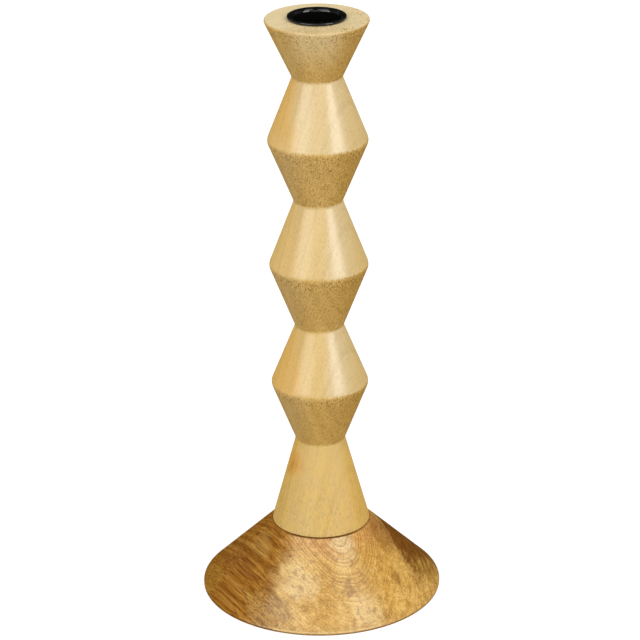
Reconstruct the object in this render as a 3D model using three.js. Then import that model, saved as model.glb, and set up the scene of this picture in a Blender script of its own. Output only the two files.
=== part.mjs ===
// A turned wooden candle holder: a pale spindle of stacked double cones stands on a darker, wide
// conical base, and a loose metal cup in the top holds the candle. A hanger bolt, a washer and a
// nut inside the base draw the spindle's tenon down into its socket. A felt disc covers the nut.
// Millimetres, +Z up. The origin is on the axis, at the height of the table.

import * as THREE from "three";

// The wood's height, from the table to the spindle's top.
const WOOD_HEIGHT = 300.5;

// Spindle: diameters at its sharp corners, and the height of each cone, from the top down. Its foot
// takes the height that is left between the lowest neck and the base.
const TOP_DIA = 51.7;
const TOP_CONE_HEIGHT = 28.9;
const TOP_NECK_DIA = 24.5;
const HIGH_BEAD_DIA = 49.7;
const HIGH_BEAD_UPPER_HEIGHT = 32.1;
const HIGH_BEAD_LOWER_HEIGHT = 31.1;
const HIGH_NECK_DIA = 24.0;
const MIDDLE_BEAD_DIA = 49.4;
const MIDDLE_BEAD_UPPER_HEIGHT = 33.4;
const MIDDLE_BEAD_LOWER_HEIGHT = 32.1;
const MIDDLE_NECK_DIA = 24.1;
const LOW_BEAD_DIA = 48.9;
const LOW_BEAD_UPPER_HEIGHT = 30.6;
const LOW_BEAD_LOWER_HEIGHT = 30.7;
const LOW_NECK_DIA = 24.8;
const FOOT_DIA = 49.4;
const TENON_DIA = 22;
const TOP_EDGE_ROUND = 1.2;
const RIDGE_ROUND = 4.2;
const NECK_ROUND = 2.5;
const FOOT_EDGE_ROUND = 0.5;
const TENON_EDGE_ROUND = 1.0;

// Base: a cone with a narrow upright rim. Its height runs from the table to the spindle's seat.
const BASE_DIA = 121.1;
const BASE_HEIGHT = 36.2;
const BASE_RIM_HEIGHT = 1.3;
const SHOULDER_LEDGE = 0.3;
const SHOULDER_ROUND = 0.5;
const RIM_EDGE_ROUND = 0.4;
const SOCKET_FLOOR_THICKNESS = 9.5;

// Felt disc under the base. It stands proud of the wood by a little, so that it meets the table.
const FELT_DIA = 106;
const FELT_THICKNESS = 1.5;
const FELT_PROUD = 0.3;

// Candle cup: a tapered metal cup that hangs in the spindle's bore by its rolled rim. Its lip curves
// down into the mouth.
const CUP_RIM_DIA = 28.8;
const CUP_RIM_HEIGHT = 1.5;
const CUP_LIP_DROP = 1.2;
const CUP_MOUTH_DIA = 23.4;
const CUP_FLOOR_DIA = 22.2;
const CUP_DEPTH = 19;
const CUP_WALL = 0.8;
const CUP_FLOOR_ROUND = 1.0;

// Hanger bolt: a wood thread that stays in the spindle, a plain shank and a machine thread.
const BOLT_DIA = 6;
const BOLT_CORE_DIA = 4.4;
const WOOD_THREAD_LENGTH = 33;
const WOOD_THREAD_PITCH = 3;
const BOLT_POINT_LENGTH = 6;
const MACHINE_THREAD_LENGTH = 14;
const MACHINE_THREAD_PITCH = 1;
const MACHINE_THREAD_DEPTH = 0.6;
const BOLT_SHANK_LENGTH = 9;
const BOLT_STICK_OUT = 1.2;

// Washer and nut on the bolt's machine thread.
const WASHER_DIA = 18;
const WASHER_THICKNESS = 1.6;
const NUT_ACROSS_FLATS = 10;
const NUT_THICKNESS = 5;
const NUT_SIDES = 6;

// Clearances.
const CUP_CLEARANCE = 0.25;
const TENON_CLEARANCE = 0.2;
const BOLT_CLEARANCE = 0.25;
const BOLT_END_GAP = 0.3;
const FELT_CLEARANCE = 0.5;
const WASHER_CLEARANCE = 1.0;
const SEAT_GAP = 0.1;
const END_GAP = 0.5;

// Facets around each piece, and along each rounded edge.
const SPINDLE_FACETS = 48;
const BASE_FACETS = 72;
const CUP_FACETS = 48;
const HARDWARE_FACETS = 24;
const THREAD_FACETS = 8;
const ROUND_STEPS = 3;

// The most of a side that the rounding at one of its ends may take.
const ROUND_SHARE = 0.48;

// The spindle's double cones, each with the neck below it, from the bottom up.
const beads = [
  {
    neck: LOW_NECK_DIA,
    dia: LOW_BEAD_DIA,
    lower: LOW_BEAD_LOWER_HEIGHT,
    upper: LOW_BEAD_UPPER_HEIGHT,
  },
  {
    neck: MIDDLE_NECK_DIA,
    dia: MIDDLE_BEAD_DIA,
    lower: MIDDLE_BEAD_LOWER_HEIGHT,
    upper: MIDDLE_BEAD_UPPER_HEIGHT,
  },
  {
    neck: HIGH_NECK_DIA,
    dia: HIGH_BEAD_DIA,
    lower: HIGH_BEAD_LOWER_HEIGHT,
    upper: HIGH_BEAD_UPPER_HEIGHT,
  },
];

// Heights of the faces that the pieces share, from the table up.
const boltEndZ = FELT_THICKNESS + BOLT_END_GAP;
const nutBottomZ = boltEndZ + BOLT_STICK_OUT;
const washerBottomZ = nutBottomZ + NUT_THICKNESS + SEAT_GAP;
const nutRecessTopZ = washerBottomZ + WASHER_THICKNESS + SEAT_GAP;
const socketFloorZ = nutRecessTopZ + SOCKET_FLOOR_THICKNESS;
const tenonEndZ = socketFloorZ + END_GAP;
const boltTipZ = boltEndZ + MACHINE_THREAD_LENGTH + BOLT_SHANK_LENGTH + WOOD_THREAD_LENGTH;
const seatZ = BASE_HEIGHT;
const topZ = WOOD_HEIGHT;
const topNeckZ = topZ - TOP_CONE_HEIGHT;
const lowNeckZ = beads.reduce((z, bead) => z - bead.upper - bead.lower, topNeckZ);

// A corner of a turned profile: distance from the axis, height, and how far its edge is rounded.
const corner = (r, z, round = 0) => ({ at: new THREE.Vector2(r, z), round });

// The points of a profile, with each rounded corner as a short curve that keeps to its own sides.
function profile(corners) {
  return corners.flatMap(({ at, round }, i) => {
    if (!round) return [at];
    const back = corners.at(i - 1).at.clone().sub(at);
    const forward = corners[(i + 1) % corners.length].at.clone().sub(at);
    const wanted = round / Math.tan(back.angleTo(forward) / 2);
    const reach = Math.min(wanted, ROUND_SHARE * back.length(), ROUND_SHARE * forward.length());
    const start = back.setLength(reach).add(at);
    const end = forward.setLength(reach).add(at);
    return new THREE.QuadraticBezierCurve(start, at, end).getPoints(ROUND_STEPS);
  });
}

// A profile turned round the Z axis.
function turned(corners, facets) {
  return new THREE.LatheGeometry(profile(corners), facets).rotateX(Math.PI / 2);
}

// A ring of the same section all round: its profile closes on its first corner.
function turnedRing(corners, facets) {
  const points = profile(corners);
  return new THREE.LatheGeometry([...points, points[0]], facets).rotateX(Math.PI / 2);
}

function spindle() {
  const pilotRadius = BOLT_DIA / 2 + BOLT_CLEARANCE;
  const boreRadius = CUP_MOUTH_DIA / 2 + CUP_WALL + CUP_CLEARANCE;
  const boreFloorZ = topZ - CUP_DEPTH - CUP_WALL - END_GAP;
  const corners = [
    corner(0, boltTipZ + END_GAP),
    corner(pilotRadius, boltTipZ + END_GAP),
    corner(pilotRadius, tenonEndZ),
    corner(TENON_DIA / 2, tenonEndZ, TENON_EDGE_ROUND),
    corner(TENON_DIA / 2, seatZ + SEAT_GAP),
    corner(FOOT_DIA / 2, seatZ + SEAT_GAP, FOOT_EDGE_ROUND),
  ];
  let z = lowNeckZ;
  for (const bead of beads) {
    corners.push(corner(bead.neck / 2, z, NECK_ROUND));
    corners.push(corner(bead.dia / 2, z + bead.lower, RIDGE_ROUND));
    z += bead.lower + bead.upper;
  }
  corners.push(
    corner(TOP_NECK_DIA / 2, topNeckZ, NECK_ROUND),
    corner(TOP_DIA / 2, topZ, TOP_EDGE_ROUND),
    corner(boreRadius, topZ),
    corner(boreRadius, boreFloorZ),
    corner(0, boreFloorZ),
  );
  return turned(corners, SPINDLE_FACETS);
}

function base() {
  const boltHoleRadius = BOLT_DIA / 2 + BOLT_CLEARANCE;
  const socketRadius = TENON_DIA / 2 + TENON_CLEARANCE;
  const shoulderRadius = FOOT_DIA / 2 + SHOULDER_LEDGE;
  const recessRadius = FELT_DIA / 2 + FELT_CLEARANCE;
  const nutRecessRadius = WASHER_DIA / 2 + WASHER_CLEARANCE;
  const feltTopZ = FELT_THICKNESS + SEAT_GAP;
  const rimTopZ = FELT_PROUD + BASE_RIM_HEIGHT;
  return turnedRing(
    [
      corner(boltHoleRadius, socketFloorZ),
      corner(boltHoleRadius, nutRecessTopZ),
      corner(nutRecessRadius, nutRecessTopZ),
      corner(nutRecessRadius, feltTopZ),
      corner(recessRadius, feltTopZ),
      corner(recessRadius, FELT_PROUD),
      corner(BASE_DIA / 2, FELT_PROUD, RIM_EDGE_ROUND),
      corner(BASE_DIA / 2, rimTopZ, RIM_EDGE_ROUND),
      corner(shoulderRadius, seatZ, SHOULDER_ROUND),
      corner(socketRadius, seatZ),
      corner(socketRadius, socketFloorZ),
    ],
    BASE_FACETS,
  );
}

function candleCup() {
  const floorZ = topZ - CUP_DEPTH;
  const rimBottomZ = topZ + SEAT_GAP;
  const rimTopZ = topZ + CUP_RIM_HEIGHT;
  const mouthRadius = CUP_MOUTH_DIA / 2;
  const floorRadius = CUP_FLOOR_DIA / 2;
  const rimWidth = CUP_RIM_DIA / 2 - mouthRadius;
  const rimRound = Math.min(rimWidth, CUP_RIM_HEIGHT) / 2;
  const lip = Math.min(CUP_LIP_DROP, rimWidth / 2);
  const lipRound = lip / (2 - Math.SQRT2);
  return turned(
    [
      corner(0, floorZ - CUP_WALL),
      corner(floorRadius + CUP_WALL, floorZ - CUP_WALL, CUP_FLOOR_ROUND + CUP_WALL),
      corner(mouthRadius + CUP_WALL, rimBottomZ),
      corner(CUP_RIM_DIA / 2, rimBottomZ, rimRound),
      corner(CUP_RIM_DIA / 2, rimTopZ, rimRound),
      corner(mouthRadius + lip, rimTopZ, lipRound),
      corner(mouthRadius, rimTopZ - lip, lipRound),
      corner(floorRadius, floorZ, CUP_FLOOR_ROUND),
      corner(0, floorZ),
    ],
    CUP_FACETS,
  );
}

function feltPad() {
  const radius = FELT_DIA / 2;
  return turned(
    [corner(0, 0), corner(radius, 0), corner(radius, FELT_THICKNESS), corner(0, FELT_THICKNESS)],
    BASE_FACETS,
  );
}

function washer() {
  const holeRadius = BOLT_DIA / 2 + BOLT_CLEARANCE;
  const topFaceZ = washerBottomZ + WASHER_THICKNESS;
  return turnedRing(
    [
      corner(holeRadius, washerBottomZ),
      corner(WASHER_DIA / 2, washerBottomZ),
      corner(WASHER_DIA / 2, topFaceZ),
      corner(holeRadius, topFaceZ),
    ],
    HARDWARE_FACETS,
  );
}

function hexNut() {
  const cornerRadius = NUT_ACROSS_FLATS / 2 / Math.cos(Math.PI / NUT_SIDES);
  const circle = new THREE.EllipseCurve(0, 0, cornerRadius, cornerRadius);
  const hexagon = new THREE.Shape(circle.getPoints(NUT_SIDES));
  const hole = new THREE.Path().absarc(0, 0, BOLT_DIA / 2 + BOLT_CLEARANCE, 0, 2 * Math.PI, true);
  hexagon.holes.push(hole);
  const settings = { depth: NUT_THICKNESS, bevelEnabled: false, curveSegments: HARDWARE_FACETS };
  return new THREE.ExtrudeGeometry(hexagon, settings).translate(0, 0, nutBottomZ);
}

// How far a triangular thread stands out of its root, from 0 to 1. It climbs a pitch in each turn.
function threadShare(height, turn, pitch) {
  const phase = THREE.MathUtils.euclideanModulo(height / pitch - turn, 1);
  return 1 - Math.abs(2 * phase - 1);
}

// The bolt's radius at a height above its machine end, on a side given as a share of a turn.
function boltRadius(height, turn) {
  const woodStart = MACHINE_THREAD_LENGTH + BOLT_SHANK_LENGTH;
  const woodEnd = woodStart + WOOD_THREAD_LENGTH;
  if (height < MACHINE_THREAD_LENGTH) {
    const depth = MACHINE_THREAD_DEPTH * (1 - threadShare(height, turn, MACHINE_THREAD_PITCH));
    return BOLT_DIA / 2 - depth;
  }
  if (height <= woodStart) return BOLT_DIA / 2;
  const toPoint = Math.min(1, (woodEnd - height) / BOLT_POINT_LENGTH);
  const crest = (BOLT_DIA - BOLT_CORE_DIA) / 2;
  return toPoint * (BOLT_CORE_DIA / 2 + crest * threadShare(height, turn, WOOD_THREAD_PITCH));
}

// Heights of the rows of facets along a thread, its start among them but not its end.
function threadRows(start, length, pitch) {
  const rows = Math.ceil((THREAD_FACETS * length) / pitch);
  return Array.from({ length: rows }, (_, row) => start + (length * row) / rows);
}

// Rows of facets climb the bolt, and a fan closes each end.
function hangerBolt() {
  const woodStart = MACHINE_THREAD_LENGTH + BOLT_SHANK_LENGTH;
  const heights = [
    ...threadRows(0, MACHINE_THREAD_LENGTH, MACHINE_THREAD_PITCH),
    MACHINE_THREAD_LENGTH,
    ...threadRows(woodStart, WOOD_THREAD_LENGTH, WOOD_THREAD_PITCH),
  ];

  const points = [0, 0, boltEndZ];
  for (const height of heights) {
    for (let side = 0; side < THREAD_FACETS; side++) {
      const turn = side / THREAD_FACETS;
      const radius = boltRadius(height, turn);
      const angle = 2 * Math.PI * turn;
      points.push(radius * Math.cos(angle), radius * Math.sin(angle), boltEndZ + height);
    }
  }
  points.push(0, 0, boltTipZ);

  const tip = points.length / 3 - 1;
  const at = (row, side) => 1 + row * THREAD_FACETS + (side % THREAD_FACETS);
  const last = heights.length - 1;
  const faces = [];
  for (let side = 0; side < THREAD_FACETS; side++) {
    faces.push(0, at(0, side + 1), at(0, side));
    for (let row = 0; row < last; row++) {
      faces.push(at(row, side), at(row, side + 1), at(row + 1, side + 1));
      faces.push(at(row, side), at(row + 1, side + 1), at(row + 1, side));
    }
    faces.push(at(last, side), at(last, side + 1), tip);
  }
  const geometry = new THREE.BufferGeometry().setIndex(faces);
  return geometry.setAttribute("position", new THREE.Float32BufferAttribute(points, 3));
}

const finish = (color, roughness, metalness = 0) =>
  new THREE.MeshStandardMaterial({ color, roughness, metalness });
const paleWood = finish("#d9b877", 0.42);
const darkWood = finish("#a8743a", 0.4);
const blackEnamel = finish("#0b0b0c", 0.18, 0.4);
const zincSteel = finish("#b9bcbf", 0.35, 1);
const darkFelt = finish("#2b2724", 0.95);

function piece(name, geometry, material) {
  const mesh = new THREE.Mesh(geometry, material);
  mesh.name = name;
  return mesh;
}

const holder = new THREE.Group();
holder.name = "candle_holder";
holder.add(
  piece("base", base(), darkWood),
  piece("stem", spindle(), paleWood),
  piece("candle_cup", candleCup(), blackEnamel),
  piece("hanger_bolt", hangerBolt(), zincSteel),
  piece("washer", washer(), zincSteel),
  piece("hex_nut", hexNut(), zincSteel),
  piece("felt_pad", feltPad(), darkFelt),
);

export default holder;
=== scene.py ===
"""Looks of a turned wooden candle holder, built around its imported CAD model: pale spindle, brown base,
black enamelled cup, felt foot and zinc fasteners, under softboxes on a white table."""

import math
import random
from types import SimpleNamespace

import bmesh
import bpy
from mathutils import Matrix, Vector


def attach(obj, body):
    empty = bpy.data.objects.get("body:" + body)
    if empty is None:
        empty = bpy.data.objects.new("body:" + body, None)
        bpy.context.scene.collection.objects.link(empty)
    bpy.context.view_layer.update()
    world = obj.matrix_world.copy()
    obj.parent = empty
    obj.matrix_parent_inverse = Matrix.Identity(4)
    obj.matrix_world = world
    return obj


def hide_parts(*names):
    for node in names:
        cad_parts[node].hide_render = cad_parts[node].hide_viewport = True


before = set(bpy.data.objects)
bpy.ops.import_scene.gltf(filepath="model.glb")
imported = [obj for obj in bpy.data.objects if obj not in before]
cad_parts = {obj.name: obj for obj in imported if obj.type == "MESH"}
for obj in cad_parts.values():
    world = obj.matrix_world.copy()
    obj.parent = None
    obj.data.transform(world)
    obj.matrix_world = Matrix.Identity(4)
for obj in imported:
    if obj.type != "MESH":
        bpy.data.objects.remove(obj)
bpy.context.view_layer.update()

MM = 0.001

# Spindle, in millimetres: sharp-corner diameters, cone heights and edge radii.
WOOD_HEIGHT = 300.5
TOP_DIA = 51.7
TOP_CONE_HEIGHT = 28.9
TOP_NECK_DIA = 24.5
BEADS = [  # neck below, bead's diameter, lower and upper cone's height, from the bottom up
    (24.8, 48.9, 30.7, 30.6),
    (24.1, 49.4, 32.1, 33.4),
    (24.0, 49.7, 31.1, 32.1),
]
FOOT_DIA = 49.4
TENON_DIA = 22.0
TENON_END_Z = 19.8
CUP_BORE_DIA = 25.5
CUP_BORE_FLOOR_Z = 280.2
PILOT_DIA = 6.5
PILOT_END_Z = 58.3
TOP_EDGE_ROUND = 1.2
RIDGE_ROUND = 4.2
NECK_ROUND = 2.5
FOOT_EDGE_ROUND = 0.5
TENON_EDGE_ROUND = 1.0

# Base, in millimetres.
BASE_DIA = 121.1
BASE_HEIGHT = 36.2
BASE_UNDERSIDE_Z = 0.3
BASE_RIM_HEIGHT = 1.3
SHOULDER_DIA = 50.0
SOCKET_DIA = 22.4
SOCKET_FLOOR_Z = 19.3
NUT_RECESS_DIA = 20.0
NUT_RECESS_TOP_Z = 9.8
FELT_RECESS_DIA = 107.0
FELT_RECESS_TOP_Z = 1.6
SHOULDER_ROUND = 0.5
RIM_EDGE_ROUND = 0.4

# Candle cup, in millimetres.
CUP_RIM_DIA = 28.8
CUP_RIM_HEIGHT = 1.5
CUP_MOUTH_DIA = 23.4
CUP_FLOOR_DIA = 22.2
CUP_DEPTH = 19.0
CUP_WALL = 0.8
CUP_FLOOR_ROUND = 1.0
CUP_RIM_ROUND = 0.75
CUP_LIP_DROP = 1.2
SEAT_GAP = 0.1

# Felt disc, in millimetres. Its fuzz rises from nothing in the middle, by a share for each millimetre.
FELT_DIA = 106.0
FELT_THICKNESS = 1.5
FELT_EDGE_ROUND = 0.3
FELT_EDGE_WIDTH = 1
FELT_FUZZ = 0.12
FELT_FUZZ_RISE = 0.1
FELT_SEED = 7

# Meshes: faces around each turned piece, steps in a rounded edge, longest straight stretch of a profile in
# millimetres, the share of a side that a rounded edge may take, and the angle of a sharp edge in degrees.
STEM_SIDES = 192
BASE_SIDES = 256
CUP_SIDES = 128
FELT_SIDES = 256
EDGE_STEPS = 8
FELT_EDGE_STEPS = 3
WOOD_STRETCH = 2.5
CUP_STRETCH = 1.2
FELT_STRETCH = 1.5
EDGE_SHARE = 0.48
SHARP_ANGLE = 30
ON_AXIS = 1e-6

# Camera of the photograph: place in metres, angles in degrees, lens on a 36 mm sensor.
CAMERA_PLACE = (0.0003, -1.3108, 0.6956)
CAMERA_DOWN = 22.789
CAMERA_ROLL = -0.506
CAMERA_LENS = 161.2
SENSOR_WIDTH = 36.0

# Softboxes: azimuth from the camera's side to the right and elevation, in degrees, then width and
# height in metres, and radiance.
LAMP_DISTANCE = 2.6
LAMP_AIM_Z = 0.15
SOFTBOXES = {
    "softbox_front": (4, 21, 1.9, 0.75, 1.7),
    "softbox_left": (-42, 40, 2.0, 2.9, 1.2),
    "softbox_left_low": (-42, 21, 2.0, 0.9, 2.4),
    "softbox_right": (50, 40, 1.35, 2.9, 1.5),
    "softbox_right_low": (50, 21, 1.35, 0.9, 3.9),
    "softbox_left_side": (-85, 22, 4.0, 2.2, 0.15),
    "softbox_right_side": (85, 22, 4.0, 2.2, 0.15),
    "softbox_back_left": (-145, 45, 3.2, 2.4, 0.04),
    "softbox_back_right": (145, 45, 3.2, 2.4, 0.04),
}
FILL_LIGHT = 0.54

# Many values below are spans: a start, an end, and the share or value at each, or 0 and 1 where only the
# first two are given. Places are in millimetres, X to the right, Y away from the camera and Z up.

# Table and sky: half the table's side in metres, its greys and glow, and the sky's brightness by height.
TABLE_REACH = 8.0
TABLE_GREY = (0.45, 0.45, 0.45, 1)
TABLE_SEEN_GREY = (0.35, 0.35, 0.35, 1)
TABLE_GLOW = 0.8
WHITE = (1, 1, 1, 1)
HORIZON = (0.0, 0.04, 1.0, 0.005)

# Wood figure. A cell is the size of a mark across and along the grain, and a length is taken outwards from
# the tree's heart, both in millimetres.
RING_BENDS = [  # cell of a bend in the growth rings, and its share of the waver
    ((34, 150), 1.0),
    ((7, 50), 0.25),
]
RING_CROWD_LENGTH = 4.8
RING_CROWD = 1.6
RING_GAP_LENGTH = 2.6
RING_GAPS = (0.35, 0.6)
LATE_WOOD_POWER = 2.0
BAND_LENGTH = 11.0
LINE_LENGTH = 2.4
FIBRE_CELL = (0.7, 26)
FLECK_CELL = (0.65, 1.4)
BLOTCH_CELL = (2.6, 6)
MOTTLE_CELL = (16, 60)
PORE_CROWD_CELL = (5, 30)
PORE_CROWD = (0.3, 0.7, 0.3, 1.7)
PORE_EDGE = (0.38, 0.2)
PORE_SHARE = 0.55
PORE_STAIN = 0.35

# Lacquer: roughness of the wood by its fibres, thickness by how far the wood faces up, relief of the
# fibres, strength and depth in metres of the bump, and for each wood the coat's weight, its roughness and
# how its gloss fades towards the outline.
WOOD_ROUGHNESS = (0.2, 0.8, 0.4, 0.5)
LACQUER_UP = (0.08, 0.26, 0.35, 1.0)
LACQUER_IOR = 1.6
FIBRE_RELIEF = 0.25
WOOD_BUMP = (0.25, 0.0001)
STEM_COAT_UP = (0.4, 0.6, 1.0, 0.3)
STEM_COAT_ROUGHNESS = 0.28
STEM_COAT_FADE = (0.18, 0.45, 1.0, 0.0)
BASE_COAT = 0.9
BASE_COAT_ROUGHNESS = 0.3
BASE_COAT_FADE = (0.12, 0.23, 1.0, 0.0)

# Seam between the foot and the base: painted shadow just above and below it, fainter at the sides.
STEM_SEAM_SHADOW_Z = (BASE_HEIGHT + 0.7, BASE_HEIGHT + 0.3, 0.0, 0.85)
BASE_SEAM_SHADOW_Z = (BASE_HEIGHT - 0.4, BASE_HEIGHT - 0.1, 0.0, 0.85)
SEAM_SHADOW_ASIDE = (22, 13, 0.35, 1.0)

# Stem wood: its shades, the line of the tree's heart, and the spacing and depth of its growth rings.
STEM = SimpleNamespace(
    cream=(0.63, 0.435, 0.15, 1),
    honey=(0.58, 0.38, 0.11, 1),
    linen_and_highlight=(0.64, 0.505, 0.29, 1),
    pearl_highlight=(0.71, 0.52, 0.23, 1),
    tan=(0.58, 0.36, 0.1, 1),
    olive=(0.46, 0.275, 0.065, 1),
    drab=(0.56, 0.38, 0.17, 1),
    amber=(0.41, 0.22, 0.046, 1),
    orange=(0.68, 0.385, 0.086, 1),
    chalk_and_light=(0.745, 0.605, 0.355, 1),
    straw=(0.7, 0.48, 0.15, 1),
    yellow=(0.68, 0.43, 0.09, 1),
    rust=(0.6, 0.27, 0.045, 1),
    brown=(0.17, 0.085, 0.018, 1),
)
STEM_HEART = (-70, 45, 0)
STEM_RING_SPACING = 3.2
STEM_RING_DEPTH = 0.1
STEM_BANDS = (0.35, 0.65, 0.0, 0.7)
STEM_FIBRES = (0.45, 0.75, 0.0, 0.3)
STEM_BLOTCHES = (0.4, 0.65, 0.0, 0.25)
# Smooth faces: linen towards the top, and painted highlights, linen on the right and pearl on the left.
LINEN_UP_Z = (140, 280, 0.0, 0.55)
LINEN_HIGHLIGHT_X = (0, 7, 0.0, 0.75)
LINEN_HIGHLIGHT_Z = (85, 105)
LINEN_HIGHLIGHT_EDGE_X = (9, 20, 1.0, 0.5)
PEARL_HIGHLIGHT_X = (-5, -16, 0.0, 0.6)
PEARL_HIGHLIGHT_Z = (80, 100)
# Orange stain down the left, with a faint stretch about STAIN_GAP_Z, and amber on the right of rough faces.
STAIN_WAVER = 14.0
STAIN_X = (0, -6)
STAIN_Z = (50, 95, 0.2, 1.0)
STAIN_GAP_Z = 207
STAIN_GAP = (28, 45, 0.25, 0.65)
AMBER_X = (10, 24, 0.0, 0.5)
# Rough faces with painted shade: drab on the left, with a torn edge where the surface turns down past the
# ridge.
DRAB_LEFT_X = (-3, -14, 0.0, 0.5)
DRAB_Z = (300, 272)
TURN_BY_RADIUS = (14, 22, -0.2, 0.1)
TURN_WIDTH = 0.12
FRINGE_CELL = (0.8, 3.0)
FRINGE_REACH = 0.9
# Top: where the wood lies flat, chalky wood and painted light, and painted shade in olive at the front and
# along the edge.
TOP_FACE_UP = (0.6, 0.95)
CHALK_AND_LIGHT_Z = (274, 302)
CHALK_AND_LIGHT_ASIDE = (18, 5, 0.1, 0.55)
TOP_FRONT_SHADE_Y = (-12, -24, 0.0, 0.3)
ARRIS_SHADE_Z = (296, 298)
ARRIS_SHADE_START_UP = (0.1, 0.3, 0.0, 0.35)
ARRIS_SHADE_END_UP = (0.95, 0.75)
# Foot: its height, orange right side, knot and long streaks.
FOOT_Z = (85, 65)
FOOT_RIGHT_X = (4, 16, 0.0, 0.4)
KNOT_PLACE = (-14.0, -7.5, 69.5)
KNOT_RAGGED = 10.0
KNOT_REACH = (9.0, 2.7, 0.0, 0.7)
KNOT_CORE_REACH = (3.6, 0.0, 0.0, 0.5)
YELLOW_STREAK_CELL = (2.2, 90)
YELLOW_STREAKS = (0.48, 0.62, 0.0, 0.5)
BROWN_STREAK_CELL = (0.6, 40)
BROWN_STREAKS = (0.52, 0.7, 0.0, 0.4)
BROWN_STREAK_Z = (78, 45)
# Torn fibres on the rough faces: thicker near the middle and higher up, and thickest in a strip under
# each ridge. Fewer specks lie on the smooth faces and the foot, and dots on the top face.
TORN_MIDDLE_X = 2.0
TORN_ASIDE = (20, 9, 0.7, 1.1)
TORN_LOW_Z = (120, 230, 0.6, 1.0)
TORN_TOP_Z = (262, 274, 1.0, 0.7)
TOP_RIDGE_DROP = 1.0
STRIP_DROP = 3.0
STRIP_REACH = (4.0, 2.0, 0.0, 1.3)
SMOOTH_AND_FOOT_SPECKS = (0, 1, 0.28, 0.12)
DOT_CROWD_SCALE = 0.09
DOT_CROWD = (0.42, 0.55, 0.5, 1.3)
DOTS_RIGHT = (-20, 22, 0.4, 1.2)
STEM_PALE_FLECKS = (0.5, 0.66, 0.0, 0.55)
STEM_DARK_FLECKS = (0.46, 0.31, 0.0, 0.7)

# Base wood: its shades, the grain's level direction, the line of the tree's heart, and the growth rings.
BASE = SimpleNamespace(
    gold=(0.8, 0.52, 0.165, 1),
    tan=(0.6, 0.33, 0.07, 1),
    straw=(0.78, 0.55, 0.2, 1),
    ochre=(0.74, 0.44, 0.06, 1),
    chestnut=(0.305, 0.115, 0.01, 1),
    brown=(0.2, 0.085, 0.016, 1),
    # cream also paints highlights: on the base's gloss bands and the rim's front edge.
    cream=(0.8, 0.62, 0.32, 1),
    rose=(0.58, 0.27, 0.085, 1),
    russet=(0.24, 0.085, 0.016, 1),
    umber=(0.14, 0.045, 0.006, 1),
    ash=(0.3, 0.19, 0.09, 1),
    olive=(0.34, 0.18, 0.025, 1),
    wheat=(0.62, 0.42, 0.13, 1),
)
BASE_GRAIN = Vector((0.475, -0.88, 0)).normalized()
BASE_SIDE = Vector((-BASE_GRAIN.y, BASE_GRAIN.x, 0))
HEART_SIDE = -3.9
HEART_Z = 37.6
BASE_RING_SPACING = 1.6
BASE_RING_WAVER = 4.0
BASE_RINGS_BY_REACH = (14, 30, 0.65, 0.28)
# Sapwood: tan over gold, a rose collar under the foot that is partly painted shade, and a brown hem above
# the rim.
TAN_MOTTLE = (0.35, 0.65)
TAN_CLOUDS = (0.42, 0.68, 0.0, 0.7)
TAN_LINES = (0.42, 0.62, 0.0, 0.5)
CLOUD_CELL = (6, 16)
COLLAR_AND_SHADE_Z = (26, 34, 0.0, 0.6)
HEM_Z = (6, 2.5, 0.0, 0.15)
# Heartwood: how far its edge slants, wavers and frays, in millimetres along the grain, and where it ends.
EDGE_SLANT = -0.87
EDGE_MOTTLE = 14.0
EDGE_LINES = 12.0
EDGE_TOP_Z = (18, 33, 0.0, -6.0)
EDGE_FRAY = 0.7
FRAY_CELL = (2.0, 40)
FRAY_REACH = 40.0
HEARTWOOD_EDGE = (10, -9)
HEARTWOOD_ACROSS = (30, 10)
HEARTWOOD_ALONG = (5, -15)
HEARTWOOD_LINES = (0.35, 0.6, 0.75, 1.0)
UMBER_ACROSS = (14, 34)
UMBER_FIBRES = (0.35, 0.6, 0.65, 1.0)
UMBER_LINES = (0.52, 0.66, 0.0, 0.35)
# Dark streaked flank on the right: its ragged edge across the grain, and its slanting end along it.
RAGGED_REACH = 16.0
FLANK_RAGGED = 0.6
FLANK_FIBRES = 8.0
FLANK_TOP_Z = (14, 30, 0.0, 4.0)
FLANK_ACROSS = (32, 39)
FLANK_SLANT = 0.76
FLANK_END = (79, 55)
FLANK_STREAKS = (-6, 4, 1.0, 0.82)
# Dark growth rings: distance from the heart, half width and depth of colour. Each fades between two
# shares of its half width.
DARK_RINGS = [
    (23.1, 0.7, 0.35),
    (27.5, 0.8, 0.45),
    (37.3, 2.2, 0.4),
    (44.8, 1.0, 0.45),
    (59.3, 1.2, 0.35),
]
DARK_RING_OUTSIDE = 1.3
DARK_RING_INSIDE = 0.5
# Patches of another shade: place and reach, shade and share. Each is full within a share of its reach, and
# drawn out along the grain.
BASE_PATCHES = [
    # The cream patches are painted highlights, where the softboxes' gloss bands fall on the base.
    ((10, -27, 33), 8, BASE.cream, 0.65),
    ((-11, -41, 19), 11, BASE.cream, 0.5),
    ((22, -49, 8), 10, BASE.cream, 0.35),
    ((2, -28, 33), 6, BASE.rose, 0.5),
    ((31, -8, 30), 10, BASE.russet, 0.55),
    ((37, -28, 16), 4, BASE.russet, 0.45),
    ((56, -6, 6), 9, BASE.olive, 0.5),
    ((14, -43, 17), 3, BASE.umber, 0.45),
    ((-30, -15, 28), 7, BASE.wheat, 0.25),
    ((-30, -46, 7), 9, BASE.wheat, 0.3),
    ((-42, -14, 17), 11, BASE.russet, 0.7),
    ((-56, -7, 5), 10, BASE.olive, 0.6),
    ((-20, -48, 8), 8, BASE.ash, 0.4),
]
PATCH_CORE = 0.4
PATCH_DRAWN_OUT = 0.5
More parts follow.
